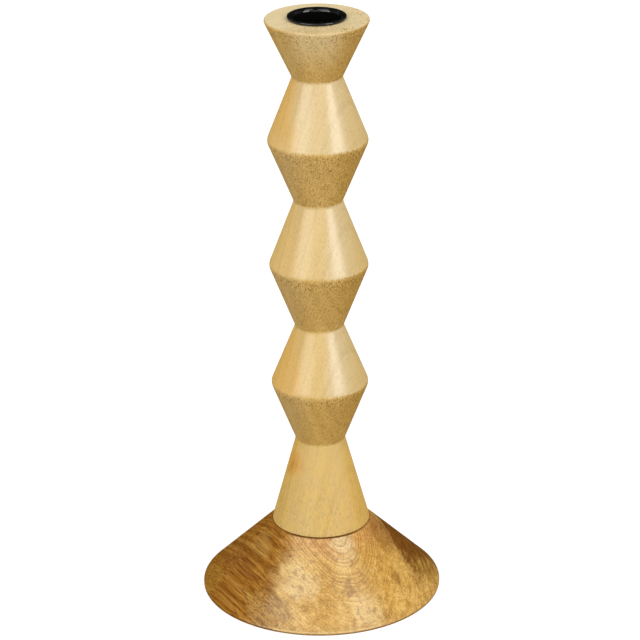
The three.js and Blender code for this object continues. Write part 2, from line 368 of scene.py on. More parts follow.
# Specks and streaks: pale ones are lost where the wood is dark, and dark streaks are thin where it is pale.
PALE_LOSS = 0.95
BROWN_BLOTCHES = (0.52, 0.68, 0.0, 0.4)
STRAW_BLOTCHES = (0.46, 0.34, 0.0, 0.4)
STRAW_FLECKS = (0.5, 0.7, 0.0, 0.45)
BROWN_FLECKS = (0.47, 0.28, 0.0, 0.4)
BROWN_FIBRES = (0.45, 0.75, 0.0, 0.4)
STREAK_CELL = (0.75, 26)
OCHRE_STREAKS = (0.46, 0.34, 0.0, 0.2)
OCHRE_ACROSS = (5, -15)
UMBER_STREAKS = (0.53, 0.66, 0.0, 0.85)
UMBER_STREAKS_LEAST = 0.2
# Rim: its upper edge, with a painted highlight in front, and painted shadow round its foot.
RIM_Z = BASE_UNDERSIDE_Z + BASE_RIM_HEIGHT
RIM_HIGHLIGHT_REACH = (0.6, 0.2, 0.0, 0.35)
RIM_HIGHLIGHT_FRONT_Y = (-46, -58)
RIM_SHADOW_Z = (0.9 * RIM_Z, 0.5 * RIM_Z, 0.0, 0.7)

# Enamel, zinc and felt: their shades, marks in cells per millimetre, roughness by the marks, and the
# bump's strength and depth in metres.
ENAMEL_BLACK = (0.002, 0.002, 0.002, 1)
ENAMEL_WARM_BLACK = (0.005, 0.0045, 0.004, 1)
ENAMEL_CLOUDS = 0.35
ENAMEL_RIPPLES = 0.5
ENAMEL_ROUGHNESS = (0.2, 0.8, 0.05, 0.08)
ENAMEL_GLOSS = 0.65
ENAMEL_BUMP = (0.1, 0.00005)
ZINC_DARK = (0.5, 0.51, 0.52, 1)
ZINC_PALE = (0.68, 0.68, 0.67, 1)
ZINC_SPANGLES = 0.8
ZINC_ROUGHNESS = (0.3, 0.7, 0.28, 0.45)
FELT_DARK = (0.012, 0.011, 0.01, 1)
FELT_GREY = (0.05, 0.046, 0.042, 1)
FELT_DUSTY = (0.06, 0.053, 0.047, 1)
FELT_HAIRS = 2.4
FELT_CLOUDS = 0.12
FELT_DUST = (0.3, 0.7, 0.0, 0.4)
FELT_ROUGHNESS = 0.95
FELT_SHEEN = 0.4
FELT_BUMP = (0.8, 0.0004)


# Meshes


def placed(name, data):
    """A new object in the scene."""
    made = bpy.data.objects.new(name, data)
    bpy.context.scene.collection.objects.link(made)
    return made


def corner(dia, z, rounding=0.0):
    """A corner of a turned profile: diameter, height and edge radius."""
    return Vector((dia / 2, z)), rounding


def rounded(corners, closed=False, steps=EDGE_STEPS, stretch=WOOD_STRETCH):
    """Profile points: each rounded corner as an arc, and each straight stretch in short lengths."""
    points = []
    count = len(corners)
    for i, (at, rounding) in enumerate(corners):
        inner = closed or 0 < i < count - 1
        if not rounding or not inner:
            points.append(at)
            continue
        back = corners[i - 1][0] - at
        ahead = corners[(i + 1) % count][0] - at
        reach = rounding / math.tan(back.angle(ahead) / 2)
        reach = min(reach, EDGE_SHARE * back.length, EDGE_SHARE * ahead.length)
        start = at + reach * back.normalized()
        end = at + reach * ahead.normalized()
        for step in range(steps + 1):
            t = step / steps
            points.append((1 - t) ** 2 * start + 2 * t * (1 - t) * at + t**2 * end)
    if closed:
        points.append(points[0])
    cut = [points[0]]
    for a, b in zip(points, points[1:]):
        parts = max(1, math.ceil((b - a).length / stretch))
        cut.extend(a.lerp(b, k / parts) for k in range(1, parts + 1))
    return cut


def turned(name, points, around, closed=False):
    """A piece turned round the Z axis from profile points in millimetres."""
    mesh = bmesh.new()
    if closed:
        points = points[:-1]
    rings = []
    for point in points:
        if point.x < ON_AXIS:
            rings.append([mesh.verts.new((0, 0, point.y * MM))])
            continue
        ring = []
        for k in range(around):
            angle = 2 * math.pi * k / around
            place = (point.x * math.cos(angle), point.x * math.sin(angle), point.y)
            ring.append(mesh.verts.new(Vector(place) * MM))
        rings.append(ring)
    pairs = list(zip(rings, rings[1:]))
    if closed:
        pairs.append((rings[-1], rings[0]))
    for low, high in pairs:
        for here in range(around):
            there = (here + 1) % around
            face = [
                low[here % len(low)],
                low[there % len(low)],
                high[there % len(high)],
                high[here % len(high)],
            ]
            face = list(dict.fromkeys(face))
            if len(face) > 2:
                mesh.faces.new(face)
    bmesh.ops.recalc_face_normals(mesh, faces=mesh.faces)
    data = bpy.data.meshes.new(name)
    mesh.to_mesh(data)
    mesh.free()
    data.shade_smooth()
    data.set_sharp_from_angle(angle=math.radians(SHARP_ANGLE))
    return placed(name, data)


def spindle():
    """The stem: tenon and pilot hole below, foot, three double cones, top cone and the cup's bore."""
    corners = [
        corner(0, PILOT_END_Z),
        corner(PILOT_DIA, PILOT_END_Z),
        corner(PILOT_DIA, TENON_END_Z),
        corner(TENON_DIA, TENON_END_Z, TENON_EDGE_ROUND),
        corner(TENON_DIA, BASE_HEIGHT + SEAT_GAP),
        corner(FOOT_DIA, BASE_HEIGHT + SEAT_GAP, FOOT_EDGE_ROUND),
    ]
    z = WOOD_HEIGHT - TOP_CONE_HEIGHT - sum(lower + upper for _, _, lower, upper in BEADS)
    for neck, dia, lower, upper in BEADS:
        corners.append(corner(neck, z, NECK_ROUND))
        corners.append(corner(dia, z + lower, RIDGE_ROUND))
        z += lower + upper
    corners += [
        corner(TOP_NECK_DIA, z, NECK_ROUND),
        corner(TOP_DIA, WOOD_HEIGHT, TOP_EDGE_ROUND),
        corner(CUP_BORE_DIA, WOOD_HEIGHT),
        corner(CUP_BORE_DIA, CUP_BORE_FLOOR_Z),
        corner(0, CUP_BORE_FLOOR_Z),
    ]
    return turned("turned_stem", rounded(corners), STEM_SIDES)


def ridge_heights():
    """Heights of the top's edge and of the double cones' ridges, in millimetres."""
    heights = [WOOD_HEIGHT - TOP_RIDGE_DROP]
    z = WOOD_HEIGHT - TOP_CONE_HEIGHT
    for _, _, lower, upper in reversed(BEADS):
        heights.append(z - upper)
        z -= upper + lower
    return heights


def foot_cone():
    """The base: a cone with the tenon's socket above, and recesses for the nut and the felt below."""
    corners = [
        corner(PILOT_DIA, SOCKET_FLOOR_Z),
        corner(PILOT_DIA, NUT_RECESS_TOP_Z),
        corner(NUT_RECESS_DIA, NUT_RECESS_TOP_Z),
        corner(NUT_RECESS_DIA, FELT_RECESS_TOP_Z),
        corner(FELT_RECESS_DIA, FELT_RECESS_TOP_Z),
        corner(FELT_RECESS_DIA, BASE_UNDERSIDE_Z),
        corner(BASE_DIA, BASE_UNDERSIDE_Z, RIM_EDGE_ROUND),
        corner(BASE_DIA, RIM_Z, RIM_EDGE_ROUND),
        corner(SHOULDER_DIA, BASE_HEIGHT, SHOULDER_ROUND),
        corner(SOCKET_DIA, BASE_HEIGHT),
        corner(SOCKET_DIA, SOCKET_FLOOR_Z),
    ]
    return turned("turned_base", rounded(corners, closed=True), BASE_SIDES, closed=True)


def rolled_cup():
    """The cup: thin walls, a rim that lies on the wood, and a lip that rolls over into the mouth."""
    floor_z = WOOD_HEIGHT - CUP_DEPTH
    rim_low = WOOD_HEIGHT + SEAT_GAP
    rim_high = WOOD_HEIGHT + CUP_RIM_HEIGHT
    lip_round = CUP_LIP_DROP / (2 - math.sqrt(2))
    corners = [
        corner(0, floor_z - CUP_WALL),
        corner(CUP_FLOOR_DIA + 2 * CUP_WALL, floor_z - CUP_WALL, CUP_FLOOR_ROUND + CUP_WALL),
        corner(CUP_MOUTH_DIA + 2 * CUP_WALL, rim_low),
        corner(CUP_RIM_DIA, rim_low, CUP_RIM_ROUND),
        corner(CUP_RIM_DIA, rim_high, CUP_RIM_ROUND),
        corner(CUP_MOUTH_DIA + 2 * CUP_LIP_DROP, rim_high, lip_round),
        corner(CUP_MOUTH_DIA, rim_high - CUP_LIP_DROP, lip_round),
        corner(CUP_FLOOR_DIA, floor_z, CUP_FLOOR_ROUND),
        corner(0, floor_z),
    ]
    return turned("rolled_cup", rounded(corners, stretch=CUP_STRETCH), CUP_SIDES)


def felt_disc():
    """The felt: a flat disc whose faces and edge are pushed in at random, as matted wool is."""
    corners = [
        corner(0, 0),
        corner(FELT_DIA, 0, FELT_EDGE_ROUND),
        corner(FELT_DIA, FELT_THICKNESS, FELT_EDGE_ROUND),
        corner(0, FELT_THICKNESS),
    ]
    points = rounded(corners, steps=FELT_EDGE_STEPS, stretch=FELT_STRETCH)
    felt = turned("felt_disc", points, FELT_SIDES)
    draws = random.Random(FELT_SEED)
    middle = FELT_THICKNESS / 2 * MM
    for vertex in felt.data.vertices:
        radius = math.hypot(vertex.co.x, vertex.co.y)
        inward = draws.random() * FELT_FUZZ * min(MM, FELT_FUZZ_RISE * radius)
        vertex.co.z += inward if vertex.co.z < middle else -inward
        if radius > (FELT_DIA / 2 - FELT_EDGE_WIDTH) * MM:
            vertex.co.xy *= 1 - draws.random() * FELT_FUZZ * MM / radius
    return felt


# Shader helpers


def add(tree, kind, inputs=None, **settings):
    """A shader node. Each input is a plain value, or another node's output to link."""
    made = tree.nodes.new(kind)
    for name, value in settings.items():
        setattr(made, name, value)
    for name, value in (inputs or {}).items():
        socket = made.inputs[name]
        if isinstance(value, bpy.types.NodeSocket):
            tree.links.new(value, socket)
        else:
            socket.default_value = value
    return made


def calc(tree, operation, a, b=0.0):
    """One step of arithmetic on numbers."""
    return add(tree, "ShaderNodeMath", {0: a, 1: b}, operation=operation).outputs[0]


def vector_calc(tree, operation, a, b=(0, 0, 0), scale=1.0):
    """One step of arithmetic on vectors."""
    made = add(tree, "ShaderNodeVectorMath", {0: a, 1: b, 3: scale}, operation=operation)
    return made.outputs["Value" if operation in ("DOT_PRODUCT", "LENGTH") else "Vector"]


def times(tree, first, *others):
    """The product of several numbers."""
    for other in others:
        first = calc(tree, "MULTIPLY", first, other)
    return first


def plus(tree, first, *others):
    """The sum of several numbers."""
    for other in others:
        first = calc(tree, "ADD", first, other)
    return first


def larger(tree, a, b):
    """The larger of two numbers."""
    return calc(tree, "MAXIMUM", a, b)


def without(tree, share):
    """What share leaves of 1."""
    return calc(tree, "SUBTRACT", 1.0, share)


def apart(tree, value, middle):
    """How far value is from middle, either way."""
    return calc(tree, "ABSOLUTE", calc(tree, "SUBTRACT", value, middle))


def swing(tree, value, reach):
    """Noise from 0 to 1 as a shift of up to half of reach, either way."""
    return times(tree, calc(tree, "SUBTRACT", value, 0.5), reach)


def remap(tree, value, start, end, at_start=0.0, at_end=1.0):
    """value taken smoothly from start..end to at_start..at_end."""
    inputs = {"Value": value, "From Min": start, "From Max": end, "To Min": at_start, "To Max": at_end}
    made = add(tree, "ShaderNodeMapRange", inputs, interpolation_type="SMOOTHSTEP")
    return made.outputs["Result"]


# The Mix node takes its share at input 0. Its numbers are inputs 2 and 3 and output 0, and its colours are
# inputs 6 and 7 and output 2.


def blend(tree, share, a, b):
    """Colour a, with colour b over it by share."""
    return add(tree, "ShaderNodeMix", {0: share, 6: a, 7: b}, data_type="RGBA").outputs[2]


def blend_value(tree, share, a, b):
    """Number a, with number b over it by share."""
    return add(tree, "ShaderNodeMix", {0: share, 2: a, 3: b}).outputs[0]


def noise(tree, place, scale=1.0, detail=3.0, roughness=0.5):
    """Noise with scale cells to each unit of place."""
    inputs = {"Vector": place, "Scale": scale, "Detail": detail, "Roughness": roughness}
    return add(tree, "ShaderNodeTexNoise", inputs).outputs["Fac"]


def line_noise(tree, value, length, detail=2.0):
    """Noise along one number, in steps about length long."""
    inputs = {"W": calc(tree, "DIVIDE", value, length), "Scale": 1.0, "Detail": detail}
    return add(tree, "ShaderNodeTexNoise", inputs, noise_dimensions="1D").outputs["Fac"]


def stretched(tree, place, cell):
    """place counted in cells, each so far across the grain and so far along it, which is Z."""
    across, along = cell
    return vector_calc(tree, "DIVIDE", place, (across, across, along))


def grain_noise(tree, place, cell, detail=3.0, roughness=0.5):
    """Noise whose marks are a cell in size."""
    return noise(tree, stretched(tree, place, cell), detail=detail, roughness=roughness)


def from_axis(tree, place):
    """How far place is from the Z axis."""
    return vector_calc(tree, "LENGTH", vector_calc(tree, "MULTIPLY", place, (1, 1, 0)))


def new_group(name, inputs, outputs):
    """An empty shader group with number or vector inputs and number outputs."""
    group = bpy.data.node_groups.new(name, "ShaderNodeTree")
    for label, value in inputs.items():
        kind = "NodeSocketVector" if value is None else "NodeSocketFloat"
        socket = group.interface.new_socket(label, in_out="INPUT", socket_type=kind)
        if value is not None:
            socket.default_value = value
    for label in outputs:
        group.interface.new_socket(label, in_out="OUTPUT", socket_type="NodeSocketFloat")
    return group, group.nodes.new("NodeGroupInput"), group.nodes.new("NodeGroupOutput")


def empty_tree(owner):
    """The shader tree of a material or a world, with nothing in it."""
    owner.use_nodes = True
    owner.node_tree.nodes.clear()
    return owner.node_tree


def new_material(name):
    """A material with one Principled shader."""
    material = bpy.data.materials.new(name)
    tree = empty_tree(material)
    shader = tree.nodes.new("ShaderNodeBsdfPrincipled")
    add(tree, "ShaderNodeOutputMaterial", {"Surface": shader.outputs[0]})
    return material, tree, shader


def millimetres(tree):
    """The piece's own coordinates, in millimetres."""
    place = add(tree, "ShaderNodeTexCoord").outputs["Object"]
    return vector_calc(tree, "SCALE", place, scale=1 / MM)


def split(tree, vector):
    """A vector's X, Y and Z."""
    axes = add(tree, "ShaderNodeSeparateXYZ", {0: vector}).outputs
    return axes["X"], axes["Y"], axes["Z"]


def facing_up(tree):
    """How far the surface faces up, from -1 to 1."""
    normal = add(tree, "ShaderNodeTexCoord").outputs["Normal"]
    return split(tree, normal)[2]


def raised(tree, shader, height, strength, depth):
    """A bump in the shader's surface."""
    bump = add(tree, "ShaderNodeBump", {"Strength": strength, "Distance": depth, "Height": height})
    tree.links.new(bump.outputs[0], shader.inputs["Normal"])


# Wood grain, shared by both woods


def wood_figure_group():
    """Figure of a wood whose fibres run along the vector's Z, with its heart on the line X = Y = 0."""
    inputs = {
        "Place": None,
        "Ring Spacing": 1.6,
        "Ring Waver": 3.0,
        "Pore Width": 0.9,
        "Pore Length": 8.0,
        "Pore Share": 0.5,
    }
    outputs = ["Reach", "Rings", "Bands", "Lines", "Fibre", "Flecks", "Blotch", "Pores", "Mottle"]
    group, given, result = new_group("wood_figure", inputs, outputs)
    place = given.outputs["Place"]

    def give(label, value):
        group.links.new(value, result.inputs[label])

    bent = place
    for cell, share in RING_BENDS:
        bend = {"Vector": stretched(group, place, cell), "Scale": 1.0}
        waver = add(group, "ShaderNodeTexNoise", bend).outputs["Color"]
        shift = vector_calc(group, "SUBTRACT", waver, (0.5, 0.5, 0.5))
        reach = times(group, given.outputs["Ring Waver"], share)
        bent = vector_calc(group, "ADD", bent, vector_calc(group, "SCALE", shift, scale=reach))
    reach = from_axis(group, bent)
    give("Reach", reach)

    turns = calc(group, "DIVIDE", reach, given.outputs["Ring Spacing"])
    turns = plus(group, turns, times(group, line_noise(group, reach, RING_CROWD_LENGTH), RING_CROWD))
    late = calc(group, "POWER", calc(group, "FRACT", turns), LATE_WOOD_POWER)
    give("Rings", times(group, late, remap(group, line_noise(group, reach, RING_GAP_LENGTH), *RING_GAPS)))
    give("Bands", line_noise(group, reach, BAND_LENGTH, detail=4.0))
    give("Lines", line_noise(group, reach, LINE_LENGTH, detail=3.0))
    give("Fibre", grain_noise(group, place, FIBRE_CELL, detail=4.0, roughness=0.65))
    give("Flecks", grain_noise(group, place, FLECK_CELL, detail=2.0, roughness=0.6))
    give("Blotch", grain_noise(group, place, BLOTCH_CELL))
    give("Mottle", grain_noise(group, place, MOTTLE_CELL))

    width = given.outputs["Pore Width"]
    length = given.outputs["Pore Length"]
    cell = add(group, "ShaderNodeCombineXYZ", {0: width, 1: width, 2: length}).outputs[0]
    cells = vector_calc(group, "DIVIDE", place, cell)
    voronoi = add(group, "ShaderNodeTexVoronoi", {"Vector": cells, "Scale": 1.0})
    lot = add(group, "ShaderNodeSeparateColor", {0: voronoi.outputs["Color"]}).outputs[0]
    crowd = remap(group, grain_noise(group, place, PORE_CROWD_CELL, detail=2.0), *PORE_CROWD)
    there = calc(group, "LESS_THAN", lot, times(group, given.outputs["Pore Share"], crowd))
    give("Pores", times(group, remap(group, voronoi.outputs["Distance"], *PORE_EDGE), there))
    return group


def figure(tree, group, place, **values):
    """The shared wood figure, placed in a material."""
    made = add(tree, "ShaderNodeGroup", node_tree=group)
    tree.links.new(place, made.inputs["Place"])
    for label, value in values.items():
        made.inputs[label.replace("_", " ").title()].default_value = value
    return made.outputs


def lacquered(tree, shader, grain, up, coat, coat_roughness, fade):
    """Satin lacquer over open pores. It was sprayed from above, so it lies thin where the wood faces down.
    Its gloss fades towards the outline, by the span fade."""
    tree.links.new(remap(tree, grain["Fibre"], *WOOD_ROUGHNESS), shader.inputs["Roughness"])
    facing = add(tree, "ShaderNodeLayerWeight").outputs["Facing"]
    weight = times(tree, coat, remap(tree, up, *LACQUER_UP), remap(tree, facing, *fade))
    tree.links.new(weight, shader.inputs["Coat Weight"])
    height = calc(tree, "SUBTRACT", times(tree, grain["Fibre"], FIBRE_RELIEF), grain["Pores"])
    raised(tree, shader, height, *WOOD_BUMP)
    shader.inputs["Specular IOR Level"].default_value = 0.0
    shader.inputs["Coat Roughness"].default_value = coat_roughness
    shader.inputs["Coat IOR"].default_value = LACQUER_IOR


def seam_shadow(tree, height, aside, span):
    """Painted shadow where the foot meets the base, fainter at the sides."""
    return times(tree, remap(tree, height, *span), remap(tree, aside, *SEAM_SHADOW_ASIDE))


# Stem wood


def stem_surface(tree, group):
    """What the stem's shades depend on: its places, its grain, and where it is rough and painted darker,
    flat or the foot.
    """
    place = millimetres(tree)
    x, y, z = split(tree, place)
    heart = vector_calc(tree, "SUBTRACT", place, STEM_HEART)
    grain = figure(tree, group, heart, ring_spacing=STEM_RING_SPACING, pore_share=PORE_SHARE)
    up = facing_up(tree)
    fringe = swing(tree, grain_noise(tree, place, FRINGE_CELL, detail=2.0), FRINGE_REACH)
    turn = plus(tree, fringe, remap(tree, from_axis(tree, place), *TURN_BY_RADIUS))
    return SimpleNamespace(
        place=place,
        x=x,
        y=y,
        z=z,
        aside=calc(tree, "ABSOLUTE", x),
        stain_x=plus(tree, x, times(tree, grain["Mottle"], STAIN_WAVER)),
        grain=grain,
        bands=remap(tree, grain["Bands"], *STEM_BANDS),
        up=up,
        # Faces that turn down: rougher, and painted darker as shade.
        rough_and_shaded=remap(tree, calc(tree, "SUBTRACT", up, turn), TURN_WIDTH, -TURN_WIDTH),
        flat=remap(tree, up, *TOP_FACE_UP),
        foot=remap(tree, z, *FOOT_Z),
    )


def stem_smooth_lit_faces(tree, at):
    """Faces that the lathe cut towards the top are smooth, and painted pale as lit, with painted highlights
    on the right and left.
    """
    colour = blend(tree, at.bands, STEM.cream, STEM.honey)
    # Painted highlight in linen on the right of the smooth faces, where the right softbox's gloss band
    # falls.
    right = times(tree, remap(tree, at.x, *LINEN_HIGHLIGHT_X), remap(tree, at.z, *LINEN_HIGHLIGHT_Z))
    right = times(tree, right, remap(tree, at.x, *LINEN_HIGHLIGHT_EDGE_X))
    pallor_and_highlight = larger(tree, remap(tree, at.z, *LINEN_UP_Z), right)
    colour = blend(tree, pallor_and_highlight, colour, STEM.linen_and_highlight)
    # Painted highlight in pearl on the left of the smooth faces, where the left softbox's gloss band falls.
    left_highlight = times(tree, remap(tree, at.x, *PEARL_HIGHLIGHT_X), remap(tree, at.z, *PEARL_HIGHLIGHT_Z))
    colour = blend(tree, left_highlight, colour, STEM.pearl_highlight)
    gap = remap(tree, apart(tree, at.z, STAIN_GAP_Z), *STAIN_GAP)
    stain = times(tree, remap(tree, at.stain_x, *STAIN_X), gap, remap(tree, at.z, *STAIN_Z))
    colour = blend(tree, stain, colour, STEM.orange)
    return blend(tree, remap(tree, at.grain["Fibre"], *STEM_FIBRES), colour, STEM.olive)


def stem_rough_shaded_faces(tree, at):
    """Faces below each ridge are rougher, and painted darker as shade, as they turn down."""
    colour = blend(tree, at.bands, STEM.tan, STEM.olive)
    colour = blend(tree, remap(tree, at.grain["Blotch"], *STEM_BLOTCHES), colour, STEM.olive)
    dull = times(tree, remap(tree, at.x, *DRAB_LEFT_X), remap(tree, at.z, *DRAB_Z))
    return blend(tree, dull, colour, STEM.drab)


def stem_top_light_and_tones(tree, at, colour):
    """The top is chalky and painted light, with painted shade in olive at its front and edge; rough faces
    are amber on the right, and growth rings show.
    """
    # Chalk over the flat top and the top cone's upper middle: pale end grain, and painted light from above.
    chalk_wash_and_light = times(tree, remap(tree, at.z, *CHALK_AND_LIGHT_Z), remap(tree, at.aside, *CHALK_AND_LIGHT_ASIDE))
    colour = blend(tree, larger(tree, chalk_wash_and_light, at.flat), colour, STEM.chalk_and_light)
    aged = times(tree, remap(tree, at.stain_x, *AMBER_X), without(tree, at.flat), at.rough_and_shaded)
    colour = blend(tree, aged, colour, STEM.amber)
    # Painted shade in olive on the front of the top face, towards its edge.
    front = times(tree, remap(tree, at.y, *TOP_FRONT_SHADE_Y), at.flat)
    colour = blend(tree, front, colour, STEM.olive)
    # Painted shade in olive round the rounded top edge, where it turns down.
    arris_shade = times(tree, remap(tree, at.z, *ARRIS_SHADE_Z), remap(tree, at.up, *ARRIS_SHADE_START_UP))
    arris_shade = times(tree, arris_shade, remap(tree, at.up, *ARRIS_SHADE_END_UP))
    colour = blend(tree, arris_shade, colour, STEM.olive)
    return blend(tree, times(tree, at.grain["Rings"], STEM_RING_DEPTH), colour, STEM.brown)


def stem_foot(tree, at, colour):
    """The foot is orange on the right, has a small knot on the left, and shows its long fibres."""
    right = times(tree, at.foot, remap(tree, at.x, *FOOT_RIGHT_X))
    colour = blend(tree, right, colour, STEM.orange)
    knot = vector_calc(tree, "LENGTH", vector_calc(tree, "SUBTRACT", at.place, KNOT_PLACE))
    knot = plus(tree, knot, swing(tree, at.grain["Blotch"], KNOT_RAGGED))
    colour = blend(tree, remap(tree, knot, *KNOT_REACH), colour, STEM.rust)
    colour = blend(tree, remap(tree, knot, *KNOT_CORE_REACH), colour, STEM.amber)
    streak = remap(tree, grain_noise(tree, at.place, YELLOW_STREAK_CELL), *YELLOW_STREAKS)
    colour = blend(tree, times(tree, streak, at.foot), colour, STEM.yellow)
    streak = remap(tree, grain_noise(tree, at.place, BROWN_STREAK_CELL, roughness=0.6), *BROWN_STREAKS)
    streak = times(tree, streak, remap(tree, at.z, *BROWN_STREAK_Z))
    return blend(tree, streak, colour, STEM.brown)


def stem_specks(tree, at, colour):
    """Torn fibres make short dark and pale dashes, mostly under each ridge, and pores show among them."""
    torn = times(tree, at.rough_and_shaded, remap(tree, apart(tree, at.x, TORN_MIDDLE_X), *TORN_ASIDE))
    torn = times(tree, torn, remap(tree, at.z, *TORN_LOW_Z), remap(tree, at.z, *TORN_TOP_Z))
    for ridge in ridge_heights():
        off = apart(tree, at.z, ridge - STRIP_DROP)
        strip = times(tree, at.rough_and_shaded, remap(tree, off, *STRIP_REACH))
        torn = larger(tree, torn, strip)
    dotted = remap(tree, noise(tree, at.place, DOT_CROWD_SCALE, detail=2.0), *DOT_CROWD)
    rightward = calc(tree, "SUBTRACT", at.x, at.y)
    dotted = times(tree, dotted, remap(tree, rightward, *DOTS_RIGHT))
    elsewhere = blend_value(tree, at.flat, remap(tree, at.foot, *SMOOTH_AND_FOOT_SPECKS), dotted)
    speck = larger(tree, torn, elsewhere)
    pale = times(tree, remap(tree, at.grain["Flecks"], *STEM_PALE_FLECKS), speck)
    colour = blend(tree, pale, colour, STEM.straw)
    dark = times(tree, remap(tree, at.grain["Flecks"], *STEM_DARK_FLECKS), speck)
    colour = blend(tree, dark, colour, STEM.brown)
    return blend(tree, times(tree, at.grain["Pores"], speck, PORE_STAIN), colour, STEM.brown)


def stem_wood(group):
    """Pale wood of the stem, under satin lacquer."""
    material, tree, shader = new_material("satin_stem_wood")
    at = stem_surface(tree, group)
    # Faces that turn down take the darker copy of the wood as painted shade, and faces that turn up the
    # paler, lit one.
    colour = blend(tree, at.rough_and_shaded, stem_smooth_lit_faces(tree, at), stem_rough_shaded_faces(tree, at))
    colour = stem_top_light_and_tones(tree, at, colour)
    colour = stem_foot(tree, at, colour)
    colour = stem_specks(tree, at, colour)
    # Painted shadow on the foot, just above its joint with the base.
    colour = blend(tree, seam_shadow(tree, at.z, at.aside, STEM_SEAM_SHADOW_Z), colour, STEM.brown)
    tree.links.new(colour, shader.inputs["Base Color"])
    coat = remap(tree, at.up, *STEM_COAT_UP)
    lacquered(tree, shader, at.grain, at.up, coat, STEM_COAT_ROUGHNESS, STEM_COAT_FADE)
    return material


# Base wood


def base_grain_place(place):
    """A place in the base as distances across, up and along the grain from the tree's heart."""
    place = Vector(place)
    across = place.dot(BASE_SIDE) - HEART_SIDE
    return Vector((across, place.z - HEART_Z, place.dot(BASE_GRAIN)))


def base_surface(tree, group):
    """What the base's shades depend on: its places, along its grain too, its figure, and ragged noises."""
    place = millimetres(tree)
    x, y, z = split(tree, place)
    across = calc(tree, "SUBTRACT", vector_calc(tree, "DOT_PRODUCT", place, BASE_SIDE), HEART_SIDE)
    rise = calc(tree, "SUBTRACT", z, HEART_Z)
    along = vector_calc(tree, "DOT_PRODUCT", place, BASE_GRAIN)
    grain_place = add(tree, "ShaderNodeCombineXYZ", {0: across, 1: rise, 2: along}).outputs[0]
    values = {"ring_spacing": BASE_RING_SPACING, "ring_waver": BASE_RING_WAVER, "pore_share": PORE_SHARE}
    cloud = grain_noise(tree, grain_place, CLOUD_CELL, detail=4.0)
    return SimpleNamespace(
        y=y,
        z=z,
        aside=calc(tree, "ABSOLUTE", x),
        across=across,
        along=along,
        grain_place=grain_place,
        grain=figure(tree, group, grain_place, **values),
        cloud=cloud,
        ragged=swing(tree, cloud, RAGGED_REACH),
        fray=swing(tree, grain_noise(tree, grain_place, FRAY_CELL), FRAY_REACH),
    )


def base_heartwood(tree, at):
    """The heartwood's share: it lies away from the front, along a slanting edge that its rings follow."""
    edge = plus(tree, times(tree, at.grain["Reach"], EDGE_SLANT), at.along)
    edge = plus(tree, edge, times(tree, at.grain["Mottle"], EDGE_MOTTLE))
    edge = plus(tree, edge, times(tree, at.grain["Lines"], EDGE_LINES), remap(tree, at.z, *EDGE_TOP_Z))
    edge = plus(tree, edge, times(tree, at.fray, EDGE_FRAY))
    behind = larger(tree, remap(tree, at.across, *HEARTWOOD_ACROSS), remap(tree, at.along, *HEARTWOOD_ALONG))
    return times(tree, remap(tree, edge, *HEARTWOOD_EDGE), behind)


def base_flank(tree, at):
    """The share of the dark patch on the right."""
    across = plus(tree, at.across, times(tree, at.ragged, FLANK_RAGGED))
    across = plus(tree, across, swing(tree, at.grain["Fibre"], FLANK_FIBRES))
    across = plus(tree, across, remap(tree, at.z, *FLANK_TOP_Z))
    slant = plus(tree, times(tree, at.across, FLANK_SLANT), at.along, at.fray)
    return times(tree, remap(tree, across, *FLANK_ACROSS), remap(tree, slant, *FLANK_END))


def base_sapwood(tree, at):
    """Gold wood with tan clouds and lines."""
    colour = blend(tree, remap(tree, at.grain["Mottle"], *TAN_MOTTLE), BASE.gold, BASE.tan)
    colour = blend(tree, remap(tree, at.cloud, *TAN_CLOUDS), colour, BASE.tan)
    return blend(tree, remap(tree, at.grain["Lines"], *TAN_LINES), colour, BASE.tan)


def base_browns(tree, at, heartwood, flank, colour):
    """The heartwood is chestnut, and umber on the right, in its lines and in the dark growth rings."""
    streaked = times(tree, flank, remap(tree, at.fray, *FLANK_STREAKS))
    depth = larger(tree, streaked, remap(tree, at.grain["Lines"], *HEARTWOOD_LINES))
    shade = times(tree, remap(tree, at.across, *UMBER_ACROSS), remap(tree, at.grain["Fibre"], *UMBER_FIBRES))
    deep = blend(tree, shade, BASE.chestnut, BASE.umber)
    colour = blend(tree, times(tree, heartwood, depth), colour, deep)
    lines = times(tree, heartwood, remap(tree, at.grain["Lines"], *UMBER_LINES))
    colour = blend(tree, lines, colour, BASE.umber)
    for distance, half_width, strength in DARK_RINGS:
        off = apart(tree, at.grain["Reach"], distance)
        outside = DARK_RING_OUTSIDE * half_width
        ring = remap(tree, off, outside, DARK_RING_INSIDE * half_width, 0.0, strength)
        colour = blend(tree, times(tree, ring, heartwood), colour, BASE.umber)
    return colour


def base_patches(tree, at, heartwood, colour):
    """The sapwood's collar, partly painted shade, and hem, and patches of other shades, the cream ones
    painted highlights. Also gives where the wood is dark.
    """
    sapwood = without(tree, heartwood)
    # Rose collar rising to the foot: rose wood, with painted shade under the foot.
    colour = blend(tree, times(tree, sapwood, remap(tree, at.z, *COLLAR_AND_SHADE_Z)), colour, BASE.rose)
    colour = blend(tree, times(tree, sapwood, remap(tree, at.z, *HEM_Z)), colour, BASE.brown)
    gloom = heartwood
    for centre, reach, shade, share in BASE_PATCHES:
        away = vector_calc(tree, "SUBTRACT", at.grain_place, base_grain_place(centre))
        away = vector_calc(tree, "MULTIPLY", away, (1, 1, PATCH_DRAWN_OUT))
        away = plus(tree, vector_calc(tree, "LENGTH", away), at.ragged)
        patch = remap(tree, away, reach, PATCH_CORE * reach, 0.0, share)
        colour = blend(tree, patch, colour, shade)
        if shade in (BASE.russet, BASE.umber):
            gloom = larger(tree, gloom, patch)
    return colour, gloom


